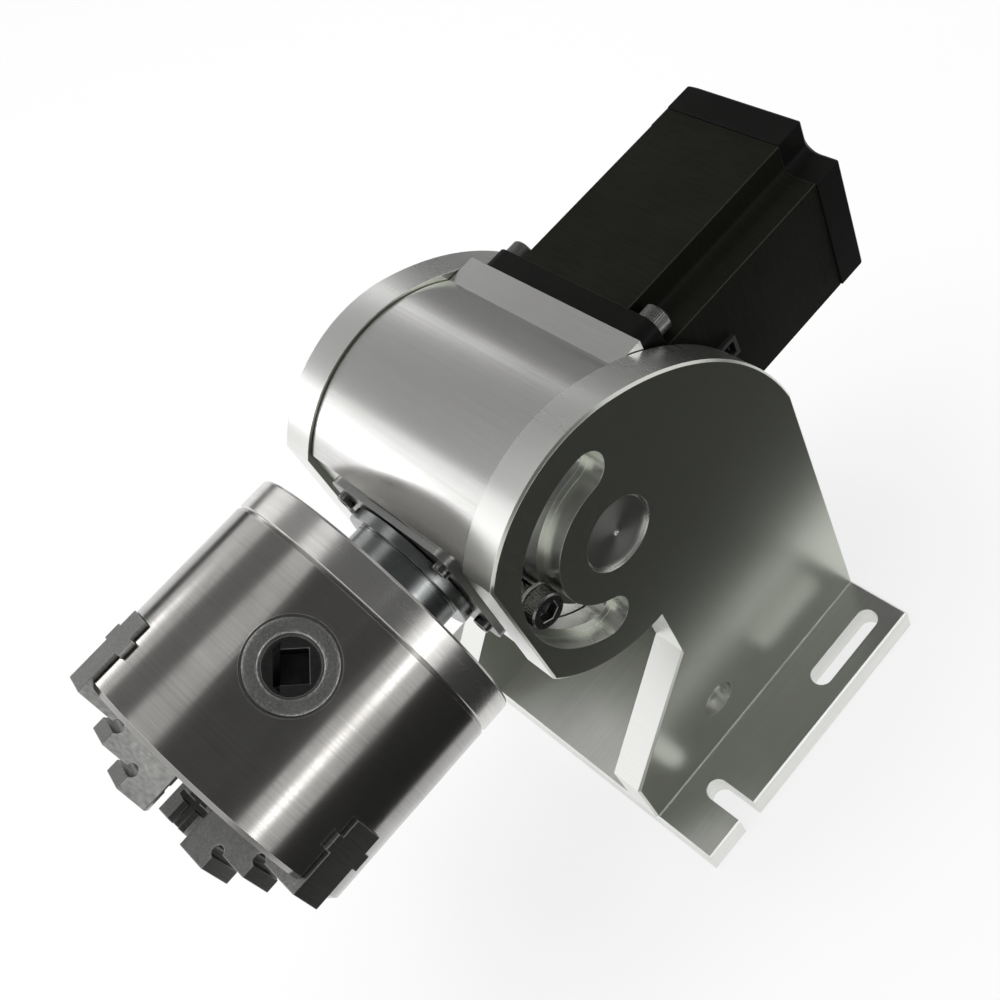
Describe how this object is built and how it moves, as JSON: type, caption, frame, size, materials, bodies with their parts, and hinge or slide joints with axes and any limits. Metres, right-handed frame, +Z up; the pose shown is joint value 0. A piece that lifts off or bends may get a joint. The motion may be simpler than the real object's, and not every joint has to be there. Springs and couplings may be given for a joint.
{
  "type": "laser rotary axis",
  "caption": "Three-jaw chuck on a motor-driven spindle that tilts between two uprights on a slotted base, for turning work under a laser.",
  "frame": {"origin": "underside of the base, midway between the uprights and below the tilt axis", "axes": "+X out of the chuck, +Y to the right-hand upright, +Z up"},
  "size_m": [0.2256, 0.12, 0.1594],
  "materials": {
    "upright_metal": "milled and lightly sanded",
    "base_metal": "milled",
    "drum_metal": "turned and polished",
    "chuck_steel": "ground and turned",
    "jaw_steel": "ground, hardened",
    "spot_iron": "rough, as cast",
    "pinion_steel": "blackened",
    "spindle_steel": "turned",
    "retainer_metal": "milled",
    "bearing_steel": "polished",
    "motor_black": "black, satin",
    "stack_black": "black coated laminations",
    "screw_steel": "bright",
    "screw_dark": "blackened",
    "socket_plastic": "moulded"
  },
  "bodies": {
    "frame": {"base_plate": "base_metal", "upright_right": "upright_metal", "upright_left": "upright_metal", "foot_screws": "screw_dark"},
    "head": {"drum": "drum_metal", "pivot_pin_right": "spindle_steel", "pivot_pin_left": "spindle_steel", "lock_washer_right": "screw_steel", "lock_washer_left": "screw_steel", "bearing_outer_races": "bearing_steel", "bearing_retainer": "retainer_metal", "retainer_screws": "screw_steel", "motor_flange": "motor_black", "motor_stack": "stack_black", "motor_rear_cap": "motor_black", "motor_cap_screws": "screw_steel", "motor_bolts": "screw_steel", "motor_socket": "socket_plastic"},
    "lock_right": {"lock_screw_right": "screw_steel"},
    "lock_left": {"lock_screw_left": "screw_steel"},
    "chuck": {"bearing_inner_races": "bearing_steel", "bearing_balls": "bearing_steel", "spindle": "spindle_steel", "shaft_coupling": "retainer_metal", "chuck_backplate": "chuck_steel", "chuck_screws": "screw_dark", "chuck_body": "chuck_steel", "scroll_cover": "spindle_steel", "spot_rings": "spot_iron", "motor_shaft": "spindle_steel"},
    "scroll": {"scroll_plate": "spindle_steel"},
    "pinion_body_1": {"pinion_1": "pinion_steel"},
    "jaw_body_1": {"jaw_1": "jaw_steel"},
    "pinion_body_2": {"pinion_2": "pinion_steel"},
    "jaw_body_2": {"jaw_2": "jaw_steel"},
    "pinion_body_3": {"pinion_3": "pinion_steel"},
    "jaw_body_3": {"jaw_3": "jaw_steel"}
  },
  "joints": [
    {"name": "tilt", "type": "hinge", "parent": "frame", "child": "head", "pos_m": [0, 0, 0.1194], "axis": [0, -1, 0], "range_deg": [-45, 90]},
    {"name": "lock_right_turn", "type": "hinge", "parent": "head", "child": "lock_right", "pos_m": [0.0248, 0.035, 0.1194], "axis": [0, 1, 0], "range_deg": [0, 180]},
    {"name": "lock_left_turn", "type": "hinge", "parent": "head", "child": "lock_left", "pos_m": [0.0248, -0.035, 0.1194], "axis": [0, -1, 0], "range_deg": [0, 180]},
    {"name": "chuck_turn", "type": "hinge", "parent": "head", "child": "chuck", "pos_m": [0.05, 0, 0.1194], "axis": [1, 0, 0], "continuous": true},
    {"name": "scroll_turn", "type": "hinge", "parent": "chuck", "child": "scroll", "pos_m": [0.0827, 0, 0.1194], "axis": [1, 0, 0], "range_deg": [-340, 500]},
    {"name": "pinion_1_turn", "type": "hinge", "parent": "chuck", "child": "pinion_body_1", "pos_m": [0.073, 0.01669, 0.14433], "axis": [0, 0.5563, 0.831], "range_deg": [-1030, 1510]},
    {"name": "jaw_1_slide", "type": "slide", "parent": "chuck", "child": "jaw_body_1", "axis": [0, -0.4415, 0.8973], "range_m": [-0.0058, 0.0085]},
    {"name": "pinion_2_turn", "type": "hinge", "parent": "chuck", "child": "pinion_body_2", "pos_m": [0.073, -0.02993, 0.12139], "axis": [0, -0.9978, 0.0663], "range_deg": [-1030, 1510]},
    {"name": "jaw_2_slide", "type": "slide", "parent": "chuck", "child": "jaw_body_2", "axis": [0, -0.5563, -0.831], "range_m": [-0.0058, 0.0085]},
    {"name": "pinion_3_turn", "type": "hinge", "parent": "chuck", "child": "pinion_body_3", "pos_m": [0.073, 0.01324, 0.09248], "axis": [0, 0.4415, -0.8973], "range_deg": [-1030, 1510]},
    {"name": "jaw_3_slide", "type": "slide", "parent": "chuck", "child": "jaw_body_3", "axis": [0, 0.9978, -0.0663], "range_m": [-0.0058, 0.0085]}
  ],
  "couplings": [
    {"joint": "pinion_1_turn", "follows": "scroll_turn", "ratio": 3},
    {"joint": "jaw_1_slide", "follows": "scroll_turn", "m_per_rad": 0.00095493},
    {"joint": "pinion_2_turn", "follows": "scroll_turn", "ratio": 3},
    {"joint": "jaw_2_slide", "follows": "scroll_turn", "m_per_rad": 0.00095493},
    {"joint": "pinion_3_turn", "follows": "scroll_turn", "ratio": 3},
    {"joint": "jaw_3_slide", "follows": "scroll_turn", "m_per_rad": 0.00095493}
  ]
}
